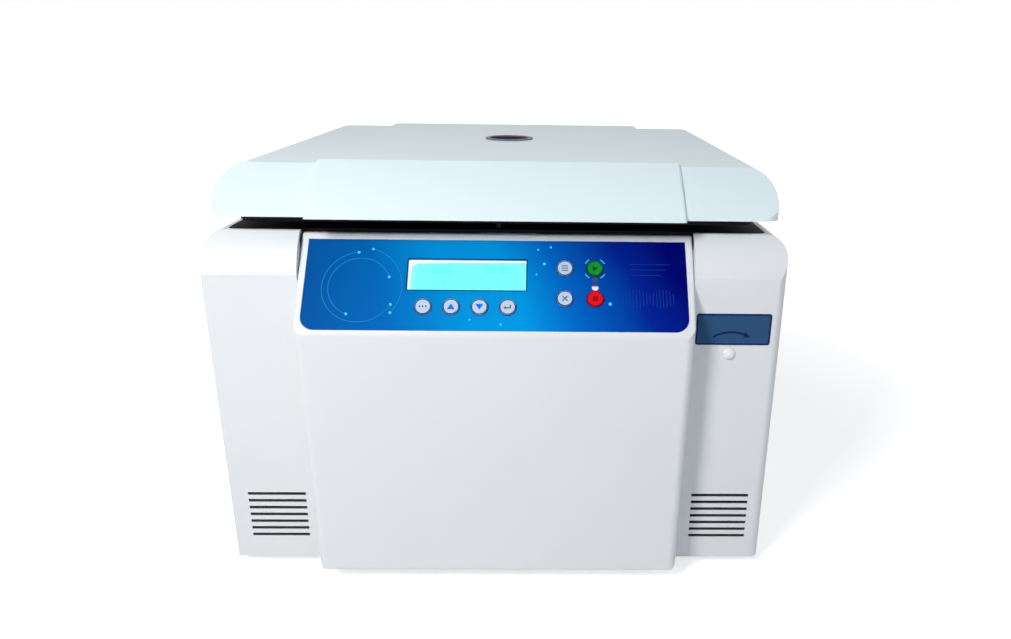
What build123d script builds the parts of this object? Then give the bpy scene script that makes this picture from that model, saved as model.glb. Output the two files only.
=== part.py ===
"""Benchtop swing-out centrifuge: each separate piece of the machine as its own solid.

Millimetres. X to the right, Y to the back, Z up. The origin is on the bench under the middle of
the machine, so the front of the machine faces -Y.
"""
import os
from math import cos, hypot, radians, sin, sqrt

from build123d import *

# Overall size
body_width = 457
body_depth = 437.5
foot_height = 8
deck_rise = 286.5          # bottom of the housing to the top deck
fascia_reach = 28.5        # how far the fascia stands in front of the wings
rear_reach = 4             # how far the power inlet stands behind the rear panel
wall = 3                   # moulded walls

# Main planes
wing_y = -(fascia_reach + body_depth + rear_reach) / 2 + fascia_reach
fascia_y = wing_y - fascia_reach
rear_y = wing_y + body_depth
body_z = foot_height
deck_z = body_z + deck_rise
half_width = body_width / 2

# Housing
shoulder_rise = 31.5       # height of the curved shoulder above each wing
shoulder_run = 21          # and its depth
shoulder_radius = 60
housing_top_radius = 14
housing_side_radius = 8
deck_margin = 14.5         # white border left around the black deck
shoulder_z = deck_z - shoulder_rise
shoulder_y = wing_y + shoulder_run

# Fascia and its sloping panel
fascia_width = 307.6       # at the height of the sloping panel's lower edge
fascia_lean = 0.0166       # how far each side leans outwards per millimetre of height
fascia_low = body_z + 6.2
fascia_back = wing_y + 11  # rear edges of the fascia's sides
panel_corner_z = deck_z - 69
panel_top_y = shoulder_y + 2.9
panel_top_z = deck_z - 2.7
panel_length = hypot(panel_top_y - fascia_y, panel_top_z - panel_corner_z)
panel_rise = (panel_top_z - panel_corner_z) / panel_length
panel_run = (panel_top_y - fascia_y) / panel_length
panel = Plane(origin=(0, fascia_y, panel_corner_z), x_dir=(1, 0, 0),
              z_dir=(0, -panel_rise, panel_run))
overlay_width = 297
overlay_low = 3.5
overlay_high = panel_length - 5.5
overlay_recess = 1.2
overlay_thickness = 1.0

# Controls, measured on the panel: X, then distance up the slope from the fascia's front corner
display_x = -23.2
display_up = 49.6
display_width = 92
display_height = 25.4
small_key_up = 22.8
key_radius = 6.3
lamp_radius = 2.5
large_keys_middle = 42.9
upper_row = large_keys_middle + key_radius + 6.4
lower_row = large_keys_middle - key_radius - 6.4
key_places = {
    "key_set": (-55.9, small_key_up),
    "key_up": (-34.4, small_key_up),
    "key_down": (-12.6, small_key_up),
    "key_enter": (9.1, small_key_up),
    "key_menu": (53.1, upper_row),
    "key_exit": (53.1, lower_row),
    "key_start": (76.6, upper_row),
    "key_stop": (76.6, lower_row),
}
small_keys = ("key_set", "key_up", "key_down", "key_enter")
large_keys = ("key_menu", "key_exit", "key_start", "key_stop")
key_stem_low = -6
key_gap = 0.3
lamp_x = 76.6
lamp_step = key_radius + lamp_radius + 0.8
lamp_ups = (upper_row - lamp_step, lower_row + lamp_step)
board_depth = 12           # back of the control board under the panel surface
board_thickness = 1.6

# Rotor chamber
chamber_radius = min(body_width - 121, body_depth - 101.5) / 2
guard_radius = chamber_radius + 7
chamber_y = rear_y - guard_radius - 36
chamber_floor = body_z + 115
sheet = 1.5
base_z = body_z + 2
tray_edge_z = body_z + 12
motor_plate_z = body_z + 46
motor_width = 96
deck_sheet = 2.5
shaft_radius = 9

# Swing-out rotor
trunnion_radius = 0.476 * chamber_radius
trunnion_z = chamber_floor + 89
bucket_radius = 0.149 * chamber_radius
bucket_drop = 0.464 * chamber_radius
bucket_head = 9
fork_gap = 2 * bucket_radius + 14
fork_thickness = 8
rotor_half_height = 11
pin_radius = 4
running_gap = 0.05
bucket_names = ("right", "back", "left", "front")

# Lid
lid_gap = 13.2
lid_rise = 35.3
lid_width = 440
lid_front_y = wing_y + 6
lid_rear_y = rear_y - 7
lid_front_run = 44.4
lid_rear_run = 38.5
lid_z = deck_z + lid_gap
lid_top_z = lid_z + lid_rise
band_width = 292
band_rise = 3
lid_corner_radius = 12
window_radius = 20
liner_z = deck_z + 7.5
liner_width = 410

# Hinge line of the lid
hinge_y = rear_y - 12
hinge_z = deck_z + 7
knuckle_radius = 5.4
hinge_x = 0.29 * body_width

# Latch and its hand release
latch_y = chamber_y - guard_radius - 14
pawl_x = 10
pawl_z = deck_z - 44
crank = 14
release_x = half_width - 42.2
release_z = deck_z - 93.5
rod_y0 = latch_y - 11.5
rod_thickness = 2.5
open_angle = 22            # the lock is shown open: its hook and cranks turned back this far

# Power inlet in the rear panel
inlet_x = -0.31 * body_width
inlet_z = body_z + 50
rocker_x = inlet_x - 14
rocker_z = inlet_z
rocker_tilt = 9              # each way from the middle


def block(x0, x1, y0, y1, z0, z1):
    """A box between two opposite corners."""
    return Pos((x0 + x1) / 2, (y0 + y1) / 2, (z0 + z1) / 2) * Box(x1 - x0, y1 - y0, z1 - z0)


def upright(radius, x, y, z0, z1):
    """A cylinder along Z."""
    return Pos(x, y, (z0 + z1) / 2) * Cylinder(radius, z1 - z0)


def along_y(radius, x, z, y0, y1):
    """A cylinder along Y."""
    return Pos(x, (y0 + y1) / 2, z) * Rot(90, 0, 0) * Cylinder(radius, y1 - y0)


def along_x(radius, y, z, x0, x1):
    """A cylinder along X."""
    return Pos((x0 + x1) / 2, y, z) * Rot(0, 90, 0) * Cylinder(radius, x1 - x0)


def yz_prism(face, x0, x1):
    """A side-view outline run across the machine."""
    return extrude(Plane.YZ.offset(x0) * face, x1 - x0)


def xz_prism(face, y0, y1):
    """A front-view outline run from front to back."""
    return extrude(Plane.XZ.offset(-y1) * face, y1 - y0)


def xy_prism(face, z0, z1):
    """A plan outline run upwards."""
    return extrude(Plane.XY.offset(z0) * face, z1 - z0)


def on_panel(face, x, up, low, high):
    """A flat outline raised from one depth to another, square to the sloping panel."""
    return panel * Pos(x, up, low) * extrude(face, high - low)


def at_chamber(piece):
    """Moves a piece built about Z to the rotor's axis."""
    return Pos(0, chamber_y, 0) * piece


def arc_middle(start, end, radius):
    """The middle point of the outward arc from start to end, which rises up and back."""
    half = hypot(end[0] - start[0], end[1] - start[1]) / 2
    sagitta = radius - sqrt(radius**2 - half**2)
    across = ((start[1] - end[1]) / (2 * half), (end[0] - start[0]) / (2 * half))
    return ((start[0] + end[0]) / 2 + across[0] * sagitta,
            (start[1] + end[1]) / 2 + across[1] * sagitta)


def top_rounded(width, low, high, radius):
    """A front-view rectangle whose two upper corners are rounded."""
    face = Pos(0, (low + high) / 2) * Rectangle(width, high - low)
    return fillet(face.vertices().group_by(Axis.Y)[-1], radius)


def plan_rounded(width, y0, y1, radius):
    """A plan rectangle with rounded corners."""
    return Pos(0, (y0 + y1) / 2) * RectangleRounded(width, y1 - y0, radius)


def housing_envelope(inset, spare):
    """The housing's outer form drawn in by inset, carried on by spare below and behind."""
    start = (wing_y + inset, shoulder_z)
    end = (shoulder_y, deck_z - inset)
    back = rear_y + spare
    low = body_z - spare
    outline = Polyline(end, (back, end[1]), (back, low), (start[0], low), start)
    arc = ThreePointArc(start, arc_middle(start, end, shoulder_radius - inset), end)
    side = make_face(outline + arc)
    front = top_rounded(body_width - 2 * inset, low, deck_z - inset, housing_top_radius - inset)
    plan = plan_rounded(body_width - 2 * inset, wing_y + inset, back, housing_side_radius - inset)
    form = yz_prism(side, -half_width, half_width)
    form &= xz_prism(front, wing_y - 1, back + 1)
    form &= xy_prism(plan, low - 1, deck_z + 1)
    return form


def vent_slots(centre_x):
    """Seven narrow slots through one wing."""
    slots = Part()
    count, pitch, length, thickness = 7, 6.7, 49, 2.7
    lowest = body_z + 22
    for n in range(count):
        slot = Pos(centre_x, lowest + n * pitch) * Rectangle(length, thickness)
        slots += xz_prism(slot, wing_y - 1, wing_y + wall + 1)
    return slots


def main_housing():
    """Wings, sides and top border in one moulding, open below, behind and at the fascia."""
    outer = housing_envelope(0, 0)
    shell = outer - housing_envelope(wall, 12)
    deck_hole = plan_rounded(body_width - 2 * deck_margin, shoulder_y + 3, rear_y - 19, 6)
    shell -= xy_prism(deck_hole, deck_z - wall - 1, deck_z + 1)
    gap = 0.4
    shell -= xz_prism(fascia_front(gap, body_z - 1, deck_z + 1), wing_y - 1, shoulder_y + 8)
    low, top = tray_edge_z + 0.5, deck_z - 8
    returns = fascia_front(gap + wall, low, top) - fascia_front(gap, low, top)
    shell += outer & xz_prism(returns, wing_y, wing_y + 17)
    for side in (-1, 1):
        shell -= vent_slots(side * (half_width - 39))
    shell -= along_y(4.3, release_x, release_z, wing_y - 1, wing_y + wall + 1)
    return shell


def fascia_front(grow, low, high):
    """Front view of the fascia between two heights, each side leaning outwards, grown by grow."""
    half_low = fascia_half(low) + grow
    half_high = fascia_half(high) + grow
    return make_face(Polyline((-half_low, low), (half_low, low), (half_high, high),
                              (-half_high, high), close=True))


def fascia_half(z):
    """Half the fascia's width at one height."""
    return fascia_width / 2 + (z - panel_corner_z) * fascia_lean


def fascia_side(inset, low):
    """Side view of the fascia drawn in by inset: upright front, sloping panel, short top."""
    front = fascia_y + inset
    line_y = fascia_y + inset * panel_rise
    line_z = panel_corner_z - inset * panel_run
    corner = (front, line_z + (front - line_y) * panel_rise / panel_run)
    top_z = panel_top_z + (2 if inset else 0)
    top = (line_y + (top_z - line_z) * panel_run / panel_rise, top_z)
    back = fascia_back + 13
    return Polyline((front, low), corner, top, (top[0] + 3.6, top_z), (back + 9, corner[1]),
                    (back, low), close=True)


def fascia_form():
    """The fascia's outer form: softened panel edges, rounder upright edges and lower corners."""
    side = make_face(fascia_side(0, fascia_low))
    for y, z, radius in ((fascia_y, panel_corner_z, 8), (fascia_y, fascia_low, 2),
                         (panel_top_y, panel_top_z, 3)):
        corner = side.vertices().sort_by(lambda v: hypot(v.X - y, v.Y - z))[0]
        side = fillet(corner, radius)
    form = yz_prism(side, -half_width, half_width)
    form &= xz_prism(fascia_front(0, fascia_low, deck_z), fascia_y - 1, shoulder_y + 40)
    form = fillet([e for e in form.edges() if panel_side_edge(e)], 2)
    lower_corners = fascia_front(0, fascia_low, deck_z)
    lower_corners = fillet(lower_corners.vertices().group_by(Axis.Y)[0], 6)
    form &= xz_prism(lower_corners, fascia_y - 1, shoulder_y + 40)
    front = xz_prism(fascia_front(0, fascia_low - 10, deck_z), fascia_y, shoulder_y + 40)
    upright_edges = [e for e in front.edges() if abs((e @ 0.5).Y - fascia_y) < 0.1
                     and abs((e @ 0.5).X) > half_width / 2]
    return form & fillet(upright_edges, 7)


def panel_side_edge(edge):
    """True for the edges along the fascia's sides from its foot up the front and the panel."""
    middle = edge @ 0.5
    on_side = abs(abs(middle.X) - fascia_half(middle.Z)) < 0.1
    slope_z = panel_corner_z + (middle.Y - fascia_y) * panel_rise / panel_run
    on_slope = abs(middle.Z - slope_z) < 3.2 and middle.Z > panel_corner_z - 4
    return on_side and (middle.Y < fascia_y + 1 or on_slope)


def front_fascia():
    """The centre moulding with its sunk panel, display opening and key openings."""
    body = fascia_form()
    inner = yz_prism(make_face(fascia_side(wall, fascia_low + wall)), -half_width, half_width)
    inner &= xz_prism(fascia_front(-wall, fascia_low, deck_z), fascia_y, shoulder_y + 40)
    body -= inner
    half = fascia_width / 2 + 10
    body -= block(-half, half, fascia_back, 0, body_z - 1, panel_corner_z)
    body -= block(-half, half, wing_y + 2.5, 0, body_z - 1, tray_edge_z + 0.5)
    body -= on_panel(overlay_face(0.25), 0, 0, -overlay_recess, 5)
    body -= on_panel(Rectangle(display_width, display_height), display_x, display_up, -wall - 1, 1)
    for group in (small_keys, large_keys):
        body -= key_opening(group)
    return body


def key_opening(group):
    """A rectangular opening through the fascia behind one group of keys."""
    xs = [key_places[name][0] for name in group]
    ups = [key_places[name][1] for name in group]
    margin = key_radius + 2.2
    width = max(xs) - min(xs) + 2 * margin
    height = max(ups) - min(ups) + 2 * margin
    return on_panel(Rectangle(width, height), (max(xs) + min(xs)) / 2, (max(ups) + min(ups)) / 2,
                    -wall - 1, 1)


def overlay_face(margin):
    """Plan of the control overlay: square top corners, round bottom corners."""
    height = overlay_high - overlay_low + 2 * margin
    face = Pos(0, (overlay_low + overlay_high) / 2) * Rectangle(overlay_width + 2 * margin, height)
    return fillet(face.vertices().group_by(Axis.Y)[0], 11)


def panel_overlay():
    """The printed overlay sheet with its window and holes."""
    top = overlay_thickness - overlay_recess
    sheet_part = on_panel(overlay_face(0), 0, 0, -overlay_recess, top)
    sheet_part -= on_panel(Rectangle(display_width, display_height), display_x, display_up, -3, 3)
    for x, up in key_places.values():
        sheet_part -= on_panel(Circle(key_radius + key_gap), x, up, -3, 3)
    for up in lamp_ups:
        sheet_part -= on_panel(Circle(lamp_radius + 0.1), lamp_x, up, -3, 3)
    return sheet_part


def display_glass():
    """The display's front glass behind the opening."""
    return on_panel(Rectangle(display_width + 6, display_height + 6), display_x, display_up,
                    -wall - 1.4, -wall)


def status_lamps():
    """Two round lamps between the start and stop keys."""
    lamps = Part()
    for up in lamp_ups:
        lamp = upright(lamp_radius, 0, 0, -overlay_recess, overlay_thickness - overlay_recess + 0.3)
        lamp += xy_prism(Rectangle(2.6, 2.6), board_thickness - board_depth, -overlay_recess)
        lamps += panel * Pos(lamp_x, up, 0) * lamp
    return lamps


def control_board():
    """Circuit board behind the panel with the display module and one switch under each key."""
    low = -board_depth
    board = on_panel(Pos(0, 38) * Rectangle(270, 56), 0, 0, low, low + board_thickness)
    face = low + board_thickness
    board += on_panel(Rectangle(display_width + 8, display_height + 8), display_x, display_up,
                      face, -wall - 1.4)
    for x, up in key_places.values():
        board += on_panel(Rectangle(6, 6), x, up, face, face + 3.4)
    board += on_panel(Rectangle(22, 8), -100, 20, face, face + 5)
    board += on_panel(Rectangle(18, 18), 110, 40, face, face + 2)
    return board


def key(name):
    """One key: a round cap with a square skirt that the overlay keeps in, and a stem below."""
    x, up = key_places[name]
    under = -overlay_recess - 0.1
    cap = upright(key_radius, 0, 0, under, 1.0)
    cap += xy_prism(Rectangle(2 * key_radius + 1.6, 2 * key_radius + 1.6), under - 1.4, under)
    cap += xy_prism(Rectangle(4, 4), key_stem_low, under - 1.4)
    return panel * Pos(x, up, 0) * cap


def top_deck():
    """Black deck with the round mouth of the chamber, the latch slot and the hinge cut-outs."""
    width = body_width - 2 * deck_margin - 0.4
    front = shoulder_y + 3.2
    back = rear_y - 19.2
    deck = xy_prism(plan_rounded(width, front, back, 6), deck_z - deck_sheet, deck_z)
    lip_half = fascia_width / 2 + 6
    deck -= block(-lip_half, lip_half, front - 1, panel_top_y + 4.4, deck_z - 5, deck_z + 1)
    deck -= at_chamber(upright(chamber_radius + 0.5, 0, 0, deck_z - 5, deck_z + 1))
    deck -= block(-6, 6, latch_y - 7, latch_y + 7, deck_z - 5, deck_z + 1)
    for x in (-hinge_x, hinge_x):
        deck -= block(x - 24, x + 24, hinge_y - 31, back + 1, deck_z - 5, deck_z + 1)
    return deck


def chamber_seal():
    """Rubber ring round the mouth of the chamber."""
    ring = upright(chamber_radius + 9, 0, 0, deck_z, liner_z - 0.3)
    ring -= upright(chamber_radius + 2, 0, 0, deck_z - 1, liner_z)
    return at_chamber(ring)


def chamber_bowl():
    """Pressed stainless bowl with a flat eight-sided flange and a hole for the shaft."""
    top = deck_z - deck_sheet
    bowl = upright(chamber_radius + sheet, 0, 0, chamber_floor - sheet, top)
    bowl += xy_prism(eight_sided(guard_radius), top - sheet, top)
    bowl -= upright(chamber_radius, 0, 0, chamber_floor, top + 1)
    bowl -= upright(shaft_radius + 2, 0, 0, chamber_floor - sheet - 1, chamber_floor + 1)
    return at_chamber(bowl)


def eight_sided(apothem):
    """A regular octagon in plan with flats to the front, back and sides."""
    return chamfer(Rectangle(2 * apothem, 2 * apothem).vertices(), apothem * (2 - sqrt(2)))


def guard_ring():
    """Eight-sided armour wall round the bowl, open at the bottom on four sides."""
    top = deck_z - deck_sheet - sheet
    ring = xy_prism(eight_sided(guard_radius) - eight_sided(guard_radius - 3), base_z, top)
    reach = guard_radius * 1.2
    for turn in (0, 90):
        ring -= Rot(0, 0, turn) * block(-guard_radius * 0.4, guard_radius * 0.4, -reach, reach,
                                        base_z - 1, chamber_floor - 12)
    return at_chamber(ring)


def base_plate():
    """Pressed steel tray with turned-up edges and air slots."""
    front = wing_y + wall + 0.3
    back = rear_y - 2.4
    width = body_width - 2 * wall - 0.6
    outline = Pos(0, (front + back) / 2) * Rectangle(width, back - front)
    outline = chamfer(outline.vertices().group_by(Axis.Y)[0], 4)
    tray = xy_prism(outline, body_z, tray_edge_z)
    tray -= xy_prism(offset(outline, amount=-2, kind=Kind.INTERSECTION), base_z, tray_edge_z + 1)
    for row in range(5):
        for x in (-0.22 * body_width, 0.22 * body_width):
            y = chamber_y - 24 + 12 * row
            tray -= block(x - 30, x + 30, y - 2.5, y + 2.5, body_z - 1, base_z + 1)
    return tray


def rubber_feet():
    """Four round rubber feet."""
    feet = Part()
    for x in (-half_width + 45, half_width - 45):
        for y in (wing_y + 45, rear_y - 45):
            feet += upright(17, x, y, 0, foot_height)
    return feet


def rear_panel():
    """Steel rear panel with two columns of air slots and the power inlet's cut-out."""
    top = deck_z - wall - 0.2
    low = body_z + 0.2
    width = body_width - 2 * wall - 0.4
    face = Pos(0, (low + top) / 2) * Rectangle(width, top - low)
    face = fillet(face.vertices().group_by(Axis.Y)[-1], housing_top_radius - wall)
    plate = xz_prism(face, rear_y - 2, rear_y)
    for n in range(9):
        for x in (-0.14 * body_width, 0.14 * body_width):
            z = deck_z - 60 - 9 * n
            plate -= block(x - 45, x + 45, rear_y - 5, rear_y + 5, z - 2, z + 2)
    plate -= block(inlet_x - 25, inlet_x + 25, rear_y - 5, rear_y + 5, inlet_z - 20, inlet_z + 20)
    return plate


def power_inlet():
    """Inlet module: flange, recessed socket with three blades, fuse drawer and rocker frame."""
    body = xz_prism(Pos(inlet_x, inlet_z) * Rectangle(49.4, 39.4), rear_y - 34, rear_y)
    body += xz_prism(Pos(inlet_x, inlet_z) * Rectangle(62, 50), rear_y, rear_y + rear_reach)
    socket_x = inlet_x + 10
    socket_z = inlet_z + 6
    socket = Pos(socket_x, socket_z) * Rectangle(25, 19)
    socket = chamfer(socket.vertices().group_by(Axis.Y)[-1], 5)
    body -= xz_prism(socket, rear_y - 16, rear_y + 10)
    for dx, dz in ((-7, -2), (0, 2), (7, -2)):
        body += block(socket_x + dx - 1, socket_x + dx + 1, rear_y - 17, rear_y - 1,
                      socket_z + dz - 2, socket_z + dz + 2)
    body -= block(rocker_x - 8, rocker_x + 8, rear_y - 12, rear_y + 10, rocker_z - 13, rocker_z + 13)
    drawer = Pos(socket_x, inlet_z - 12) * (Rectangle(24, 9) - Rectangle(23, 8))
    body -= xz_prism(drawer, rear_y + rear_reach - 1, rear_y + 10)
    for side in (-1, 1):
        edge = rocker_x + side * 8
        body += along_x(1.5, rear_y - 4, rocker_z, *sorted((edge - side * 2.4, edge + side)))
    return body


def power_rocker():
    """Rocker of the power switch on two side pins, shown with its upper end pressed in."""
    outline = Polyline((-10, -3), (-10.5, 5), (0, 3), (10.5, 5), (10, -3), (3, -6), (-3, -6),
                       close=True)
    rocker = extrude(Plane.YZ * make_face(outline), 7.4, both=True)
    for x0, x1 in ((-8, -5.4), (5.4, 8)):
        rocker -= along_x(1.5 + running_gap, 0, 0, x0, x1)
    return Pos(rocker_x, rear_y - 4, rocker_z) * Rot(-90 + rocker_tilt, 0, 0) * rocker


def motor_mounts():
    """Three rubber isolators under the motor plate."""
    mounts = Part()
    for turn in (90, 210, 330):
        mounts += Rot(0, 0, turn) * upright(12, 88, 0, base_z, motor_plate_z)
    return at_chamber(mounts)


def motor_plate():
    """Three-cornered plate that carries the motor on its isolators."""
    face = Rot(0, 0, 90) * RegularPolygon(128, 3)
    face = chamfer(face.vertices(), 36) - motor_outline(motor_width + 1)
    return at_chamber(xy_prism(face, motor_plate_z, motor_plate_z + 6))


def motor_outline(width):
    """The motor's square frame in plan with its corners cut."""
    return chamfer(Rectangle(width, width).vertices(), 0.21 * width)


def motor_body():
    """Square-framed motor with its mounting flange and upper bearing boss."""
    low, top = body_z + 16, body_z + 90
    flange_z = motor_plate_z + 6
    frame = xy_prism(motor_outline(motor_width), low, top - 6)
    frame += xy_prism(motor_outline(motor_width + 12), flange_z, flange_z + 5)
    frame += upright(15, 0, 0, top - 6, top)
    frame -= upright(shaft_radius + running_gap, 0, 0, top - 20, top + 1)
    return at_chamber(frame)


def drive_shaft():
    """Motor shaft: journal, shoulder for the rotor and a stud for its nut."""
    low = body_z + 71
    seat = trunnion_z - rotor_half_height
    top = trunnion_z + rotor_half_height
    shaft = upright(shaft_radius, 0, 0, low, seat)
    shaft += upright(7, 0, 0, seat, top)
    shaft += upright(4, 0, 0, top, top + 15)
    return at_chamber(shaft)


def rotor_cross():
    """Cast cross with four open forks, two trunnion pins in each."""
    fork_outer = fork_gap / 2 + fork_thickness
    reach = trunnion_radius + 13
    throat = trunnion_radius - bucket_radius - 8
    cross = Rectangle(2 * reach, 2 * fork_outer) + Rectangle(2 * fork_outer, 2 * reach)
    slot_length = reach + 20 - throat
    slot = Pos(throat + slot_length / 2, 0) * Rectangle(slot_length, fork_gap)
    slot = chamfer(slot.vertices().group_by(Axis.X)[0], 16)
    for turn in (0, 90, 180, 270):
        cross -= Rot(0, 0, turn) * slot
    rotor = xy_prism(cross, -rotor_half_height, rotor_half_height)
    for turn in (0, 90, 180, 270):
        for side in (-1, 1):
            y0, y1 = sorted((side * (bucket_radius + 1.5), side * (fork_gap / 2 + 1)))
            rotor += Rot(0, 0, turn) * along_y(pin_radius, trunnion_radius, 0, y0, y1)
    rotor -= upright(7, 0, 0, -rotor_half_height - 5, rotor_half_height + 5)
    return at_chamber(Pos(0, 0, trunnion_z) * rotor)


def rotor_nut():
    """Eight-sided cap nut that holds the rotor down."""
    low = trunnion_z + rotor_half_height
    nut = xy_prism(RegularPolygon(15, 8), low, low + 17)
    nut = chamfer(nut.edges().group_by(Axis.Z)[-1], 3)
    return at_chamber(nut - upright(4, 0, 0, low - 1, low + 15.5))


def bucket_place(index, piece):
    """Moves a piece built about a trunnion's centre to one of the four forks."""
    return at_chamber(Rot(0, 0, 90 * index) * Pos(trunnion_radius, 0, trunnion_z) * piece)


def bucket(index):
    """Swing-out bucket, square with cut corners, and its two ears grooved for the pins."""
    r = bucket_radius
    cup = xy_prism(cut_square(r), -bucket_drop, bucket_head)
    ear_reach = fork_gap / 2 - 2
    cup += block(-8, 8, -ear_reach, ear_reach, -12, bucket_head)
    radius = pin_radius + running_gap
    for side in (-1, 1):
        y0, y1 = sorted((side * (r + 1), side * (ear_reach + 1)))
        cup -= along_y(radius, 0, 0, y0, y1)
        cup -= block(-radius, radius, y0, y1, -13, 0)
    cup -= xy_prism(cut_square(r - 2), 3 - bucket_drop, bucket_head + 1)
    return bucket_place(index, cup)


def cut_square(half):
    """A bucket's plan: a square of twice the half width with its corners cut."""
    return chamfer(Rectangle(2 * half, 2 * half).vertices(), 0.36 * half)


def lid_outline(spare):
    """Side outline of the lid: bowed front slope, flat top, rear slope; carried on below by spare."""
    low = lid_z - spare
    front_step = spare * lid_front_run / lid_rise
    rear_step = spare * lid_rear_run / lid_rise
    start = (lid_front_y - front_step, low)
    crease = (lid_front_y + lid_front_run, lid_top_z)
    back_crease = (lid_rear_y - lid_rear_run, lid_top_z)
    end = (lid_rear_y + rear_step, low)
    bow = arc_middle(start, crease, 260)
    return make_face(ThreePointArc(start, bow, crease) + Polyline(crease, back_crease, end, start))


def lid_form(inset, spare):
    """The lid's outer form drawn in by inset, without the centre band."""
    side = lid_outline(spare)
    if inset:
        side = offset(side, amount=-inset, kind=Kind.INTERSECTION)
    front = top_rounded(lid_width - 2 * inset, lid_z - spare, lid_top_z - inset, 18 - inset)
    plan = plan_rounded(lid_width - 2 * inset, lid_front_y + inset, lid_rear_y - inset,
                        lid_corner_radius - inset)
    form = yz_prism(side, -lid_width / 2, lid_width / 2)
    form &= xz_prism(front, lid_front_y - 40, lid_rear_y + 40)
    form &= xy_prism(plan, lid_z - spare - 1, lid_top_z + 1)
    return form


def lid_band(height, half):
    """The raised centre band: the lid's side outline grown by height over a middle strip."""
    side = lid_outline(14)
    if height:
        side = offset(side, amount=height, kind=Kind.INTERSECTION)
    return yz_prism(side, -half, half)


def lid_cover():
    """White hood with sloping front, raised centre band, real wall and screw posts inside."""
    half = band_width / 2
    band = lid_band(band_rise, half)
    outline_edges = [e for e in band.edges() if abs(abs((e @ 0.5).X) - half) < 0.1
                     and (e @ 0.5).Z > lid_z - 9]
    band = fillet(outline_edges, 2.6)
    cover = lid_form(0, 14) + band
    cover -= block(-body_width, body_width, fascia_y - 50, rear_y + 50, lid_z - 50, lid_z)
    cover -= lid_form(wall, 14) + lid_band(0, half - 3.5)
    for x, y in post_places():
        cover += block(x - 5, x + 5, y - 5, y + 5, liner_z + 3, lid_top_z - 1)
    cover -= at_chamber(upright(window_radius + 1.5, 0, 0, lid_top_z - 10, lid_top_z + 20))
    return cover


def post_places():
    """Where the hood's screw posts stand on the liner."""
    return [(x, y) for x in (-0.4 * liner_width, 0.4 * liner_width)
            for y in (lid_front_y + 60, chamber_y, lid_rear_y - 60)]


def lid_liner():
    """Black inner tray of the lid with its raised edge and the sight tube under the window."""
    front = lid_front_y + 12
    back = lid_rear_y - 19
    tray = xy_prism(plan_rounded(liner_width, front, back, 18), liner_z, liner_z + 9)
    tray -= xy_prism(plan_rounded(liner_width - 5, front + 2.5, back - 2.5, 15.5), liner_z + 3,
                     liner_z + 20)
    for x in (-hinge_x, hinge_x):
        tray -= block(x - 21, x + 21, back - 4, back + 4, liner_z + 3, liner_z + 20)
    tray += at_chamber(upright(window_radius + 2.5, 0, 0, liner_z, lid_top_z))
    tray -= at_chamber(upright(window_radius - 1, 0, 0, liner_z - 1, lid_top_z + 1))
    return tray


def window_ring():
    """Round bezel on the lid that keeps the sight window in."""
    top = lid_top_z + band_rise
    ring = upright(window_radius + 4, 0, 0, top, top + 1.2)
    ring -= upright(window_radius - 0.5, 0, 0, top - 1, top + 2)
    return at_chamber(ring)


def window_lens():
    """Tinted disc that stands on the sight tube under the bezel."""
    return at_chamber(upright(window_radius + 1.2, 0, 0, lid_top_z, lid_top_z + band_rise))


def lid_striker():
    """Steel tongue under the lid with a window for the latch pawl."""
    top = liner_z
    tongue = block(-2, 2, latch_y - 4.5, latch_y + 4.5, pawl_z + 20, top)
    tongue -= block(-3, 3, latch_y - 2.7, latch_y + 2.7, pawl_z + 27.2, pawl_z + 35.5)
    tongue += block(-14, 14, latch_y - 6, latch_y + 6, top - 2, top)
    return tongue


def hinge_leaves():
    """Moving leaves: a plate on the lid's liner and the outer knuckle of each hinge."""
    leaf = block(-20, 20, hinge_y - 33, hinge_y, liner_z + 3, liner_z + 5)
    leaf += along_x(knuckle_radius, hinge_y, hinge_z, 0.3, 20)
    leaf -= block(-21, 0.3, hinge_y - 7.5, hinge_y + 7, hinge_z - 8, hinge_z + 8)
    leaf -= along_x(3 + running_gap, hinge_y, hinge_z, -1, 21)
    right = Pos(hinge_x, 0, 0) * leaf
    return right + mirror(right, about=Plane.YZ)


def hinge_brackets():
    """Fixed leaves on the housing's rear border: the inner knuckle and pin of each hinge."""
    bracket = block(-20, 20, rear_y - 18.9, rear_y - 4, deck_z, deck_z + 1.3)
    bracket += block(-20, 0, hinge_y - knuckle_radius, hinge_y + knuckle_radius, deck_z, hinge_z)
    bracket += along_x(knuckle_radius, hinge_y, hinge_z, -20, 0)
    bracket += along_x(3, hinge_y, hinge_z, 0, 20.5)
    right = Pos(hinge_x, 0, 0) * bracket
    return right + mirror(right, about=Plane.YZ)


def latch_frame():
    """Bent steel frame under the deck that holds the pawl's pivot and the solenoid."""
    top = deck_z - deck_sheet
    low = pawl_z - 7
    front = latch_y - 8.5
    back = latch_y + 6
    frame = block(-14, 30, front, front + 2, low, top)
    frame += block(-52, -13, front, front + 2, low, low + 8)
    frame += block(-14, 30, back, back + 2, low, top)
    frame += block(-14, 30, front, back + 2, top - 2, top)
    frame -= block(-6, 6, latch_y - 6.4, back - 0.1, top - 10, top + 1)
    frame += along_y(3, pawl_x, pawl_z, front + 1, back + 1)
    return frame


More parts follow.
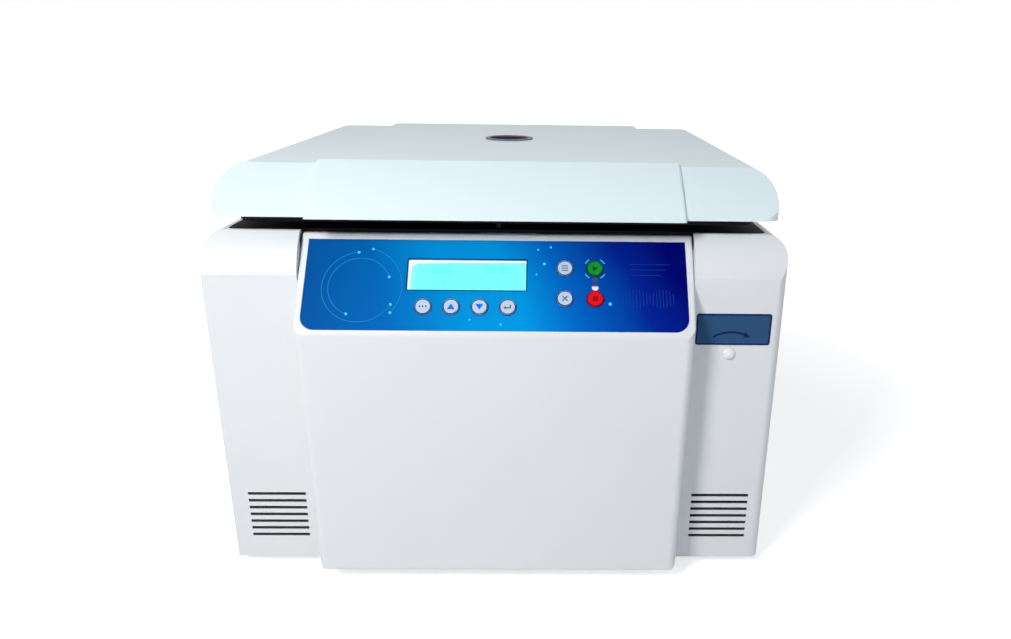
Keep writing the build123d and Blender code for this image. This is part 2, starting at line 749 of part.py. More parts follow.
def latch_pawl():
    """Hooked pawl on its pivot, with the cross pin that the rod and plunger work, shown open."""
    x, z = pawl_x, pawl_z
    outline = Polyline((x - 7, z), (x - 5, z - crank - 3), (x + 5, z - crank - 3), (x + 7, z),
                       (x + 6, z + 24), (x + 2, z + 32), (x - 13, z + 32), (x - 13.5, z + 27.5),
                       (x - 4, z + 27.5), (x - 5, z + 14), close=True)
    pawl = xz_prism(make_face(outline), latch_y - 2, latch_y + 2)
    pawl -= along_y(3 + running_gap, x, z, latch_y - 5, latch_y + 5)
    pawl += along_y(2, x, z - crank, rod_y0 - 0.5, latch_y + 5.3)
    return turned_open(pawl, x, z)


def turned_open(piece, x, z):
    """Turns a piece of the lock from locked to open about its own pivot."""
    return Pos(x, 0, z) * Rot(0, open_angle, 0) * Pos(-x, 0, -z) * piece


def shift_open():
    """How far the cranks carry the rod to the left and up from locked to open."""
    angle = radians(open_angle)
    return crank * sin(angle), crank * (1 - cos(angle))


def release_rod():
    """Flat cranked rod from the hand release to the pawl."""
    x0, z0 = pawl_x, pawl_z - crank
    x1, z1 = release_x, release_z - crank
    y0, y1 = rod_y0, rod_y0 + rod_thickness
    rod = block(x0 - 4.5, x1 + 5, y0, y1, z1 - 4.5, z1 + 4.5)
    rod += block(x0 - 4.5, x0 + 4.5, y0, y1, z1 - 4.5, z0 + 4.5)
    rod -= along_y(2 + running_gap, x1, z1, y0 - 1, y1 + 1)
    rod -= along_y(2.35, x0, z0, y0 - 1, y1 + 1)
    left, up = shift_open()
    return Pos(-left, 0, up) * rod


def release_spindle():
    """Hand-release spindle: hexagon socket in front, crank and pin behind."""
    front = wing_y + wall + 6
    crank_back = rod_y0 - 0.5
    spindle = along_y(4, release_x, release_z, front, crank_back)
    spindle -= xz_prism(Pos(release_x, release_z) * RegularPolygon(3.0, 6), front - 1, front + 9)
    spindle += block(release_x - 5, release_x + 5, crank_back - 3, crank_back,
                     release_z - crank - 5, release_z + 6)
    spindle += along_y(2, release_x, release_z - crank, crank_back - 1, rod_y0 + rod_thickness + 1)
    return turned_open(spindle, release_x, release_z)


def release_bush():
    """Square bearing block behind the wing that carries the release spindle."""
    x, z = release_x, release_z
    bush = block(x - 8, x + 8, wing_y + wall, rod_y0 - 4.2, z - 8, z + 8)
    return bush - along_y(4 + running_gap, x, z, wing_y, rod_y0)


def release_plug():
    """Round plug with a bevelled head in the hand-release hole."""
    x, z = release_x, release_z
    head = along_y(5, x, z, wing_y - 3.2, wing_y)
    head = chamfer(head.edges().sort_by(Axis.Y)[0], 1.8)
    return head + along_y(3.7, x, z, wing_y, wing_y + wall + 4)


def release_label():
    """Small plate over the hand release."""
    x, z = release_x + 2, release_z + 20.7
    return xz_prism(Pos(x, z) * RectangleRounded(60, 26.2, 2), wing_y - 0.5, wing_y)


def latch_solenoid():
    """Solenoid that pulls the pawl: steel yoke round a coil, bored for its plunger."""
    z = pawl_z - crank
    yoke = block(-52, -16, latch_y - 6.5, latch_y + 6.5, z - 9, z + 9)
    for side in (-1, 1):
        y0, y1 = sorted((latch_y + side * 4.5, latch_y + side * 7))
        yoke -= block(-48, -20, y0, y1, z - 7, z + 7)
    yoke -= along_x(3.4, latch_y, z, -40, -10)
    return yoke


def solenoid_plunger():
    """Plunger with a slotted end over the pawl's cross pin."""
    z = pawl_z - crank
    plunger = along_x(3, latch_y, z, -32, 0)
    eye = block(-4, 15, latch_y + 2.4, latch_y + 5, z - 7.5, z + 7.5)
    eye -= block(pawl_x - 2.4, pawl_x + 2.4, latch_y + 2, latch_y + 6, z - 4, z + 4)
    return Pos(-shift_open()[0], 0, 0) * (plunger + eye)


def power_board():
    """Motor drive board with its heat sink, capacitor and transformer."""
    x0, y0 = -0.37 * body_width, chamber_y - 60
    z = base_z + 8
    face = z + 1.6
    board = block(x0, x0 + 78, y0, y0 + 120, z, face)
    for x in (x0 + 2, x0 + 70):
        for y in (y0 + 2, y0 + 112):
            board += block(x, x + 6, y, y + 6, base_z, z)
    board += block(x0 + 6, x0 + 12, y0 + 14, y0 + 106, face, face + 30)
    for n in range(6):
        board += block(x0 + 12, x0 + 26, y0 + 16 + 17 * n, y0 + 18 + 17 * n, face, face + 28)
    board += upright(14, x0 + 52, y0 + 36, face, face + 32)
    board += block(x0 + 34, x0 + 70, y0 + 84, y0 + 112, face, face + 24)
    return board


def write(name, piece):
    """Saves one named piece."""
    export_step(piece, f"parts/{name}.step")


os.makedirs("parts", exist_ok=True)
write("base_plate", base_plate())
write("rubber_feet", rubber_feet())
write("main_housing", main_housing())
write("rear_panel", rear_panel())
write("front_fascia", front_fascia())
write("top_deck", top_deck())
write("panel_overlay", panel_overlay())
write("display_glass", display_glass())
write("status_lamps", status_lamps())
write("control_board", control_board())
write("chamber_bowl", chamber_bowl())
write("chamber_seal", chamber_seal())
write("guard_ring", guard_ring())
write("motor_plate", motor_plate())
write("motor_mounts", motor_mounts())
write("motor_body", motor_body())
write("power_board", power_board())
write("latch_frame", latch_frame())
write("latch_solenoid", latch_solenoid())
write("hinge_brackets", hinge_brackets())
write("power_inlet", power_inlet())
write("release_label", release_label())
write("release_bush", release_bush())
write("drive_shaft", drive_shaft())
write("rotor_cross", rotor_cross())
write("rotor_nut", rotor_nut())
write("release_plug", release_plug())
write("release_spindle", release_spindle())
write("release_rod", release_rod())
write("latch_pawl", latch_pawl())
write("solenoid_plunger", solenoid_plunger())
write("power_rocker", power_rocker())
write("lid_cover", lid_cover())
write("lid_liner", lid_liner())
write("window_ring", window_ring())
write("window_lens", window_lens())
write("lid_striker", lid_striker())
write("hinge_leaves", hinge_leaves())
for index, side_name in enumerate(bucket_names):
    write(f"bucket_{side_name}", bucket(index))
for key_name in key_places:
    write(key_name, key(key_name))
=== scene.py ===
"""Benchtop centrifuge: materials, printed detail, small fasteners, studio and camera."""
from math import atan2, cos, pi, radians, sin

import bmesh
import bpy
from mathutils import Matrix, Vector


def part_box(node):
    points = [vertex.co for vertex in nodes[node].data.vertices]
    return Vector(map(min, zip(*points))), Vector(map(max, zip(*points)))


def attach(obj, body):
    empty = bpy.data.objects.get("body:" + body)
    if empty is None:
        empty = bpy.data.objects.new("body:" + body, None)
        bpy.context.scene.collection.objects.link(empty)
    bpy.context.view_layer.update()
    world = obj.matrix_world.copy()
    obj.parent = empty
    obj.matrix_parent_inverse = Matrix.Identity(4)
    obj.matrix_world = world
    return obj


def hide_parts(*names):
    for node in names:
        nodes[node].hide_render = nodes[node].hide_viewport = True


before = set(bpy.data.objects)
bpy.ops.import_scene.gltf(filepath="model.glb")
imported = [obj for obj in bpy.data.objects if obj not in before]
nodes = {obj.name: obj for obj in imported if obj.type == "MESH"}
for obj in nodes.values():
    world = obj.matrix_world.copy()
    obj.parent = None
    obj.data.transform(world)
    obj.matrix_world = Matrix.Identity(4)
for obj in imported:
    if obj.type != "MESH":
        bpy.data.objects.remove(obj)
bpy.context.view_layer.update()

MM = 0.001
PHOTO_WIDTH = 1011
SENSOR_WIDTH = 36
INK = 0.05                # thickness of a printed mark in millimetres
CROSS_ARM = 0.5           # half length of a screw's cross recess, as a share of the head's radius
CROSS_HALF_SLOT = 0.13    # half width of its slots, as the same share
X_AXIS = Vector((1, 0, 0))
Y_AXIS = Vector((0, 1, 0))
Z_AXIS = Vector((0, 0, 1))

KEYS = ("key_set", "key_up", "key_down", "key_enter",
        "key_menu", "key_exit", "key_start", "key_stop")


# Colours and nodes

def srgb(red, green, blue):
    """A colour given in 0 to 255 screen values, as linear light with alpha."""
    def linear(value):
        value /= 255
        return value / 12.92 if value <= 0.04045 else ((value + 0.055) / 1.055) ** 2.4
    return (linear(red), linear(green), linear(blue), 1)


WHITE = srgb(231, 233, 235)


def start_material(name, **settings):
    """A new material with its Principled shader; settings are socket names with _ for spaces."""
    material = bpy.data.materials.new(name)
    material.use_nodes = True
    shader = material.node_tree.nodes["Principled BSDF"]
    for key, value in settings.items():
        shader.inputs[key.replace("_", " ")].default_value = value
    return material, shader


def add(material, kind, inputs=(), **settings):
    """A new node with some of its properties and sockets set."""
    node = material.node_tree.nodes.new(kind)
    for key, value in settings.items():
        setattr(node, key, value)
    for key, value in dict(inputs).items():
        node.inputs[key].default_value = value
    return node


def link(material, source, target):
    """Joins an output socket to an input socket."""
    material.node_tree.links.new(source, target)


def place_coordinates(material):
    """Coordinates in the frame of the model, in metres, that move with the piece."""
    return add(material, "ShaderNodeTexCoord").outputs["Object"]


def noise(material, scale, detail=3, stretch=(1, 1, 1)):
    """A noise value over the piece, with its coordinates stretched on each axis."""
    mapping = add(material, "ShaderNodeMapping", {"Scale": stretch})
    link(material, place_coordinates(material), mapping.inputs["Vector"])
    texture = add(material, "ShaderNodeTexNoise", {"Scale": scale, "Detail": detail})
    link(material, mapping.outputs["Vector"], texture.inputs["Vector"])
    return texture.outputs["Fac"]


def ramp(material, value, stops):
    """A colour ramp over a value, with stops of (position, colour)."""
    node = add(material, "ShaderNodeValToRGB")
    elements = node.color_ramp.elements
    while len(elements) < len(stops):
        elements.new(1)
    for element, (position, colour) in zip(elements, stops):
        element.position = position
        element.color = colour
    link(material, value, node.inputs["Fac"])
    return node.outputs["Color"]


def between(material, value, low, high, target):
    """Drives a socket with a 0 to 1 value spread between two numbers."""
    node = add(material, "ShaderNodeMapRange", {"To Min": low, "To Max": high})
    link(material, value, node.inputs["Value"])
    link(material, node.outputs["Result"], target)


def bump(material, shader, height, strength, distance):
    """Raises the surface by a height value; distance is in metres."""
    node = add(material, "ShaderNodeBump", {"Strength": strength, "Distance": distance})
    link(material, height, node.inputs["Height"])
    link(material, node.outputs["Normal"], shader.inputs["Normal"])


def within(material, value, low, high):
    """1 where a value lies between two numbers, otherwise 0."""
    node = add(material, "ShaderNodeMath", {1: (low + high) / 2, 2: (high - low) / 2},
               operation="COMPARE")
    link(material, value, node.inputs[0])
    return node.outputs["Value"]


def combined(material, operation, first, second):
    """One value made of two by a calculation such as ADD or MULTIPLY."""
    node = add(material, "ShaderNodeMath", operation=operation)
    link(material, first, node.inputs[0])
    link(material, second, node.inputs[1])
    return node.outputs["Value"]


def grained(name, colour, roughness, grain, depth, vary=0.04, **settings):
    """Plastic, paint or rubber: a fine grain, and slow changes of tone and gloss."""
    material, shader = start_material(name, **settings)
    dark = tuple(part * (1 - vary) for part in colour[:3]) + (1,)
    link(material, ramp(material, noise(material, 9), [(0.35, dark), (0.65, colour)]),
         shader.inputs["Base Color"])
    between(material, noise(material, 60), roughness - 0.05, roughness + 0.05,
            shader.inputs["Roughness"])
    bump(material, shader, noise(material, grain), 0.35, depth)
    return material


def metal(name, colour, roughness, stretch=(1, 1, 1), scale=900):
    """Bare metal with drawn or turned marks that run across the stretched axis."""
    material, shader = start_material(name, Metallic=1)
    marks = noise(material, scale, stretch=stretch)
    dark = tuple(part * 0.82 for part in colour[:3]) + (1,)
    link(material, ramp(material, marks, [(0.3, dark), (0.7, colour)]), shader.inputs["Base Color"])
    between(material, marks, roughness - 0.08, roughness + 0.08, shader.inputs["Roughness"])
    bump(material, shader, marks, 0.25, 0.00003)
    return material


def turned_metal(name, colour, roughness, centre):
    """Spun metal: fine rings about an upright axis through centre."""
    material, shader = start_material(name, Metallic=1)
    mapping = add(material, "ShaderNodeMapping", {"Location": (-centre.x, -centre.y, 0)})
    link(material, place_coordinates(material), mapping.inputs["Vector"])
    split = add(material, "ShaderNodeSeparateXYZ")
    link(material, mapping.outputs["Vector"], split.inputs["Vector"])
    flat = add(material, "ShaderNodeCombineXYZ")
    link(material, split.outputs["X"], flat.inputs["X"])
    link(material, split.outputs["Y"], flat.inputs["Y"])
    length = add(material, "ShaderNodeVectorMath", operation="LENGTH")
    link(material, flat.outputs["Vector"], length.inputs[0])
    rings = add(material, "ShaderNodeCombineXYZ")
    link(material, length.outputs["Value"], rings.inputs["X"])
    link(material, split.outputs["Z"], rings.inputs["Z"])
    texture = add(material, "ShaderNodeTexNoise", {"Scale": 700, "Detail": 4})
    link(material, rings.outputs["Vector"], texture.inputs["Vector"])
    marks = texture.outputs["Fac"]
    dark = tuple(part * 0.8 for part in colour[:3]) + (1,)
    link(material, ramp(material, marks, [(0.3, dark), (0.7, colour)]), shader.inputs["Base Color"])
    between(material, marks, roughness - 0.07, roughness + 0.1, shader.inputs["Roughness"])
    bump(material, shader, marks, 0.3, 0.00003)
    return material


def ink(name, colour, strength=0):
    """Flat print on film; a strength makes it glow, light from behind on the display and painted glow
    elsewhere on the film.
    """
    material, shader = start_material(name, Roughness=0.45, Specular_IOR_Level=0.1)
    shade = tuple(part * 0.85 for part in colour[:3]) + (1,)
    link(material, ramp(material, noise(material, 300), [(0.3, shade), (0.7, colour)]),
         shader.inputs["Base Color"])
    if strength:
        shader.inputs["Emission Color"].default_value = colour
        shader.inputs["Emission Strength"].default_value = strength
    return material


def assign(node_names, material):
    """Gives CAD nodes a material."""
    for name in node_names:
        data = nodes[name].data
        data.materials.clear()
        data.materials.append(material)


# Surfaces that carry print and screws

def surface(origin, along, up):
    """Turns millimetres along, up and off a surface into points in space."""
    outward = along.cross(up)

    def place(x, y, z=0):
        return origin + (along * x + up * y + outward * z) * MM
    return place


def centre_of(node):
    """The middle of a CAD node's box."""
    low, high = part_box(node)
    return (low + high) / 2


def reach(node, direction):
    """How far a CAD node reaches along a direction."""
    return max(vertex.co.dot(direction) for vertex in nodes[node].data.vertices)


def panel_axes():
    """The sloping panel's outward normal and its up-slope direction, from the overlay's faces."""
    outward = Vector((0, 0, 0))
    for polygon in nodes["panel_overlay"].data.polygons:
        if polygon.normal.z > 0.3 and polygon.normal.y < -0.3:
            outward += polygon.normal * polygon.area
    outward.normalize()
    return outward, Vector((0, outward.z, -outward.y))


panel_normal, panel_up = panel_axes()
panel_low = -reach("panel_overlay", -panel_up)
panel_height = (reach("panel_overlay", panel_up) - panel_low) / MM
panel = surface(panel_up * panel_low + panel_normal * reach("panel_overlay", panel_normal),
                X_AXIS, panel_up)


def panel_spot(node):
    """A CAD node's middle on the panel, in millimetres from the centre line and the lower edge."""
    middle = centre_of(node)
    return middle.x / MM, (middle.dot(panel_up) - panel_low) / MM


def on_node(node, along, up):
    """The surface of a CAD node that faces along x up, with its origin over the node's middle."""
    outward = along.cross(up)
    middle = centre_of(node)
    return surface(middle + outward * (reach(node, outward) - middle.dot(outward)), along, up)


def over_panel(node):
    """The face of a CAD node that lies along the panel, with its origin over the node's middle."""
    x, up = panel_spot(node)
    outward = reach(node, panel_normal)
    origin = X_AXIS * x * MM + panel_up * (panel_low + up * MM) + panel_normal * outward
    return surface(origin, X_AXIS, panel_up)


# Flat shapes, as lists of corner points in millimetres

def ring(centre, inner, outer, start=0, end=2 * pi, steps=40):
    """Quadrilaterals round an arc between two radii."""
    shapes = []
    for n in range(steps):
        angles = [start + (end - start) * (n + k) / steps for k in (0, 1)]
        corners = [(inner, angles[0]), (outer, angles[0]), (outer, angles[1]), (inner, angles[1])]
        shapes.append([(centre[0] + r * cos(a), centre[1] + r * sin(a)) for r, a in corners])
    return shapes


def disc(centre, radius, steps=28):
    """One round polygon."""
    angles = [2 * pi * n / steps for n in range(steps)]
    return [[(centre[0] + radius * cos(a), centre[1] + radius * sin(a)) for a in angles]]


def bar(x0, y0, x1, y1):
    """One upright rectangle between two corners."""
    return [[(x0, y0), (x1, y0), (x1, y1), (x0, y1)]]


def stroke(start, end, width):
    """A straight line of some width."""
    along = Vector((end[0] - start[0], end[1] - start[1])).normalized()
    side = Vector((-along.y, along.x)) * width / 2
    return [[(start[0] + side.x, start[1] + side.y), (start[0] - side.x, start[1] - side.y),
             (end[0] - side.x, end[1] - side.y), (end[0] + side.x, end[1] + side.y)]]


def rounded(centre, width, height, radius, steps=5):
    """The corner points of a rectangle with rounded corners."""
    points = []
    for n, (sx, sy) in enumerate(((1, 1), (-1, 1), (-1, -1), (1, -1))):
        for k in range(steps + 1):
            angle = (n + k / steps) * pi / 2
            points.append((centre[0] + sx * (width / 2 - radius) + radius * cos(angle),
                           centre[1] + sy * (height / 2 - radius) + radius * sin(angle)))
    return points


def border(centre, width, height, radius, line):
    """A rounded rectangular line, drawn inwards from its outer size."""
    outer = rounded(centre, width, height, radius)
    inner = rounded(centre, width - 2 * line, height - 2 * line, radius - line)
    count = len(outer)
    return [[outer[n], outer[(n + 1) % count], inner[(n + 1) % count], inner[n]]
            for n in range(count)]


def digits(text, x, y, height):
    """Numbers drawn with seven bars each, the lower left corner of the first at x and y."""
    width, line = 0.52 * height, 0.13 * height
    middle = (height - line) / 2
    bars = {
        "a": (0, height - line, width, height), "g": (0, middle, width, middle + line),
        "d": (0, 0, width, line), "f": (0, height / 2, line, height),
        "b": (width - line, height / 2, width, height), "e": (0, 0, line, height / 2),
        "c": (width - line, 0, width, height / 2)}
    lit = {"0": "abcdef", "1": "bc", "2": "abged", "3": "abgcd", "4": "fgbc"}
    shapes = []
    for character in text:
        for name in lit.get(character, ""):
            x0, y0, x1, y1 = bars[name]
            shapes += bar(x + x0, y + y0, x + x1, y + y1)
        if character == ":":
            for share in (0.25, 0.62):
                shapes += bar(x, y + share * height, x + line, y + share * height + line)
        x += 0.28 * height if character == ":" else 0.72 * height
    return shapes


# Pieces made here

def add_piece(name, mesh, place, material, body):
    """Puts a mesh drawn in a surface's millimetres into space, as a piece on a body."""
    for vertex in mesh.verts:
        vertex.co = place(*vertex.co)
    data = bpy.data.meshes.new(name)
    mesh.to_mesh(data)
    mesh.free()
    data.materials.append(material)
    piece = bpy.data.objects.new(name, data)
    bpy.context.scene.collection.objects.link(piece)
    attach(piece, body)
    return piece


def printed(name, shapes, place, material, body):
    """Thin raised print made of flat shapes."""
    mesh = bmesh.new()
    for shape in shapes:
        mesh.faces.new([mesh.verts.new((x, y, 0)) for x, y in shape])
    bmesh.ops.remove_doubles(mesh, verts=mesh.verts[:], dist=0.001)
    raised = bmesh.ops.extrude_face_region(mesh, geom=mesh.faces[:])["geom"]
    for element in raised:
        if isinstance(element, bmesh.types.BMVert):
            element.co.z = INK
    bmesh.ops.recalc_face_normals(mesh, faces=mesh.faces[:])
    return add_piece(name, mesh, place, material, body)


def skin(mesh, rings):
    """Closes a stack of rings of points, lowest first, and returns the faces between the rings."""
    rows = [[mesh.verts.new(point) for point in points] for points in rings]
    mesh.faces.new(rows[0][::-1])
    mesh.faces.new(rows[-1])
    sides = []
    for lower, upper in zip(rows, rows[1:]):
        for n in range(len(lower)):
            m = (n + 1) % len(lower)
            sides.append(mesh.faces.new((lower[n], lower[m], upper[m], upper[n])))
    return sides


def turned(name, profile, place, material, body, steps=32):
    """A piece turned about its surface's outward line, from a profile of (radius, height) points."""
    mesh = bmesh.new()
    angles = [2 * pi * n / steps for n in range(steps)]
    for face in skin(mesh, [[(r * cos(a), r * sin(a), z) for a in angles] for r, z in profile]):
        face.smooth = True
    return add_piece(name, mesh, place, material, body)


def cross_radius(angle):
    """How far a screw's cross recess reaches in one direction, as a share of the head's radius."""
    large, small = sorted((abs(cos(angle)), abs(sin(angle))), reverse=True)
    if small * CROSS_ARM <= CROSS_HALF_SLOT * large:
        return CROSS_ARM / large
    return CROSS_HALF_SLOT / small


def screws(name, spots, place, radius, material, body):
    """Pan-head screws with cross recesses, standing on a surface at some spots."""
    edge = atan2(CROSS_HALF_SLOT, CROSS_ARM)
    quarter = (-edge, 0, edge, radians(28), radians(45), radians(62))
    angles = [turn * pi / 2 + part for turn in range(4) for part in quarter]
    head = ((1, 0), (1, 0.3), (0.93, 0.47), (0.78, 0.6), (0.58, 0.66))
    recess = ((1, 0.66), (0.86, 0.28))
    rings = [[(share, angle, height) for angle in angles] for share, height in head]
    rings += [[(share * cross_radius(angle), angle, height) for angle in angles]
              for share, height in recess]
    mesh = bmesh.new()
    for x, y in spots:
        skin(mesh, [[(x + radius * r * cos(a), y + radius * r * sin(a), radius * z)
                     for r, a, z in points] for points in rings])
    return add_piece(name, mesh, place, material, body)


# Materials of the CAD nodes

def white_plastic(name, colour):
    """Satin white plastic with a very fine grain."""
    return grained(name, colour, 0.4, 1100, 0.00002, vary=0.012, Specular_IOR_Level=0.32)


def slot_region():
    """The low and high corners round the air slots of the right wing, from their level faces."""
    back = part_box("main_housing")[0].y + 4 * MM
    lowest, highest = 15 * MM, 90 * MM
    mesh = nodes["main_housing"].data
    corners = [mesh.vertices[index].co for polygon in mesh.polygons for index in polygon.vertices
               if abs(polygon.normal.z) > 0.9 and polygon.center.x > 0
               and polygon.center.y < back and lowest < polygon.center.z < highest]
    return [Vector([pick(corner[axis] for corner in corners) for axis in range(3)])
            for pick in (min, max)]


def housing_material():
    """White plastic with painted shade on the inner sides of its air slots, standing in for the dark
    hollow behind them.
    """
    material = white_plastic("housing_white", WHITE)
    shader = material.node_tree.nodes["Principled BSDF"]
    split = add(material, "ShaderNodeSeparateXYZ")
    link(material, place_coordinates(material), split.inputs["Vector"])
    off_centre = add(material, "ShaderNodeMath", operation="ABSOLUTE")
    link(material, split.outputs["X"], off_centre.inputs[0])
    low, high = slot_region()
    white_rim = 0.3 * MM
    painted_slot_shade = within(material, off_centre.outputs["Value"], low.x - MM, high.x + MM)
    for axis, start in (("Y", low.y + white_rim), ("Z", low.z - MM)):
        limit = getattr(high, axis.lower()) + MM
        painted_slot_shade = combined(material, "MULTIPLY", painted_slot_shade,
                          within(material, split.outputs[axis], start, limit))
    # Painted shade: the base colour falls to a tenth on the slot sides behind the front face.
    tone = add(material, "ShaderNodeVectorMath", operation="SCALE")
    link(material, shader.inputs["Base Color"].links[0].from_socket, tone.inputs[0])
    between(material, painted_slot_shade, 1, 0.1, tone.inputs["Scale"])
    link(material, tone.outputs["Vector"], shader.inputs["Base Color"])
    return material


white_moulding = white_plastic("white_moulding", WHITE)
lid_white = white_plastic("lid_white", srgb(231, 246, 252))
bezel_grey = grained("bezel_grey", srgb(104, 98, 114), 0.4, 1300, 0.00002, Specular_IOR_Level=0.2)
black_moulding = grained("black_moulding", srgb(14, 14, 17), 0.65, 1500, 0.00004,
                         Specular_IOR_Level=0.12)
black_rubber = grained("black_rubber", srgb(20, 20, 21), 0.75, 700, 0.00006,
                       Specular_IOR_Level=0.2)
rear_paint = grained("rear_paint", srgb(214, 217, 220), 0.5, 900, 0.00008)
black_paint = grained("black_paint", srgb(22, 23, 25), 0.5, 900, 0.00008,
                      Specular_IOR_Level=0.12)
motor_paint = grained("motor_paint", srgb(52, 55, 60), 0.45, 700, 0.00006)
plug_white = grained("plug_white", srgb(242, 242, 243), 0.35, 1300, 0.00002)
zinc_steel = metal("zinc_steel", srgb(176, 180, 184), 0.38, scale=120)
bright_steel = metal("bright_steel", srgb(200, 201, 204), 0.2, stretch=(1, 1, 12), scale=300)
cast_aluminium = metal("cast_aluminium", srgb(186, 188, 192), 0.42, scale=500)
bucket_anodised = metal("bucket_anodised", srgb(150, 156, 166), 0.35, stretch=(1, 1, 0.1))
bowl_steel = turned_metal("bowl_steel", srgb(188, 190, 193), 0.3, centre_of("chamber_bowl"))

assign(("main_housing",), housing_material())
assign(("front_fascia",), white_moulding)
assign(("lid_cover",), lid_white)
assign(("window_ring",), bezel_grey)
assign(("top_deck", "lid_liner", "release_bush", "power_inlet", "power_rocker"), black_moulding)
assign(("rubber_feet", "motor_mounts", "chamber_seal"), black_rubber)
assign(("rear_panel",), rear_paint)
assign(("guard_ring", "hinge_brackets", "hinge_leaves", "lid_striker"), black_paint)
assign(("motor_body",), motor_paint)
assign(("base_plate", "motor_plate", "latch_frame", "latch_solenoid", "release_rod"), zinc_steel)
assign(("drive_shaft", "rotor_nut", "release_spindle", "latch_pawl", "solenoid_plunger"),
       bright_steel)
assign(("rotor_cross",), cast_aluminium)
assign([name for name in nodes if name.startswith("bucket_")], bucket_anodised)
assign(("chamber_bowl",), bowl_steel)


def circuit_board_material():
    """Green solder mask with a faint pattern of tracks."""
    material, shader = start_material("circuit_board", Roughness=0.35)
    tracks = add(material, "ShaderNodeTexBrick", {
        "Scale": 220, "Mortar Size": 0.02, "Color1": srgb(16, 74, 44), "Color2": srgb(18, 82, 50),
        "Mortar": srgb(42, 118, 76)})
    link(material, place_coordinates(material), tracks.inputs["Vector"])
    link(material, tracks.outputs["Color"], shader.inputs["Base Color"])
    return material


def spread(material, axis, node, low=0, high=1):
    """A value that runs over a CAD node's box along X, Y or Z."""
    corner_low, corner_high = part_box(node)
    split = add(material, "ShaderNodeSeparateXYZ")
    link(material, place_coordinates(material), split.inputs["Vector"])
    share = add(material, "ShaderNodeMapRange", {
        "From Min": getattr(corner_low, axis.lower()), "From Max": getattr(corner_high, axis.lower()),
        "To Min": low, "To Max": high})
    link(material, split.outputs[axis], share.inputs["Value"])
    return share.outputs["Result"]


def smoked_window_material():
    """Dark tinted plastic, bluish at the left and brownish at the right, with fine wipe marks."""
    material, shader = start_material("smoked_window", Specular_IOR_Level=0)
    tint = ramp(material, spread(material, "X", "window_lens"), [
        (0.1, srgb(46, 44, 58)), (0.3, srgb(52, 60, 104)), (0.55, srgb(74, 58, 72)),
        (0.9, srgb(84, 64, 70))])
    link(material, tint, shader.inputs["Base Color"])
    between(material, noise(material, 400, stretch=(1, 6, 1)), 0.1, 0.2, shader.inputs["Roughness"])
    return material


def overlay_material():
    """Printed film: deep blue at the left, light blue in the middle and below, navy at the right."""
    material, shader = start_material("panel_print", Specular_IOR_Level=0.02)
    cloud = add(material, "ShaderNodeMapRange", {"To Min": -0.05, "To Max": 0.05})
    link(material, noise(material, 14, detail=1), cloud.inputs["Value"])
    drift = combined(material, "ADD", spread(material, "X", "panel_overlay"),
                     spread(material, "Z", "panel_overlay", -0.04, 0.06))
    drift = combined(material, "ADD", drift, cloud.outputs["Result"])
    colour = ramp(material, drift, [
        (0.0, srgb(0, 78, 150)), (0.2, srgb(0, 96, 172)), (0.4, srgb(0, 138, 206)),
        (0.55, srgb(0, 142, 212)), (0.7, srgb(0, 96, 186)), (0.86, srgb(0, 34, 140)),
        (1.0, srgb(0, 4, 108))])
    tone = add(material, "ShaderNodeVectorMath", operation="SCALE")
    link(material, colour, tone.inputs[0])
    link(material, spread(material, "Z", "panel_overlay", 1.2, 0.95), tone.inputs["Scale"])
    link(material, tone.outputs["Vector"], shader.inputs["Base Color"])
    between(material, noise(material, 500), 0.4, 0.5, shader.inputs["Roughness"])
    return material


def display_material():
    """Lit cyan display, a little brighter along its left edge."""
    material, shader = start_material("display_light", Base_Color=srgb(90, 220, 225),
                                      Specular_IOR_Level=0.2, Emission_Strength=0.55)
    colour = ramp(material, spread(material, "X", "display_glass"), [
        (0.03, srgb(190, 255, 255)), (0.1, srgb(122, 250, 252)), (0.9, srgb(120, 250, 252)),
        (1.0, srgb(150, 255, 255))])
    link(material, colour, shader.inputs["Emission Color"])
    between(material, noise(material, 300), 0.2, 0.3, shader.inputs["Roughness"])
    return material


def lamp_material():
    """Two lamp lenses: the lower one lit, the upper one dark."""
    material, shader = start_material("lamp_lens", Emission_Strength=0.55)
    height = spread(material, "Z", "status_lamps")
    base = ramp(material, height, [(0.5, srgb(255, 205, 235)), (0.6, srgb(14, 62, 112))])
    glow = ramp(material, height, [(0.5, srgb(255, 178, 222)), (0.6, (0, 0, 0, 1))])
    link(material, base, shader.inputs["Base Color"])
    link(material, glow, shader.inputs["Emission Color"])
    between(material, noise(material, 900), 0.15, 0.3, shader.inputs["Roughness"])
    return material


assign(("control_board", "power_board"), circuit_board_material())
assign(("window_lens",), smoked_window_material())
assign(("panel_overlay",), overlay_material())
assign(("display_glass",), display_material())
assign(("status_lamps",), lamp_material())

key_grey = grained("key_grey", srgb(192, 212, 236), 0.45, 1500, 0.00002, Specular_IOR_Level=0.2)
key_green = grained("key_green", srgb(4, 146, 44), 0.45, 1500, 0.00002, Specular_IOR_Level=0.12)
key_red = grained("key_red", srgb(236, 8, 22), 0.45, 1500, 0.00002, Specular_IOR_Level=0.12)
assign([name for name in KEYS if name not in ("key_start", "key_stop")], key_grey)
assign(("key_start",), key_green)
assign(("key_stop",), key_red)

label_blue = grained("label_blue", srgb(44, 82, 122), 0.5, 1200, 0.00002, Specular_IOR_Level=0.1)
assign(("release_label",), label_blue)

# Print

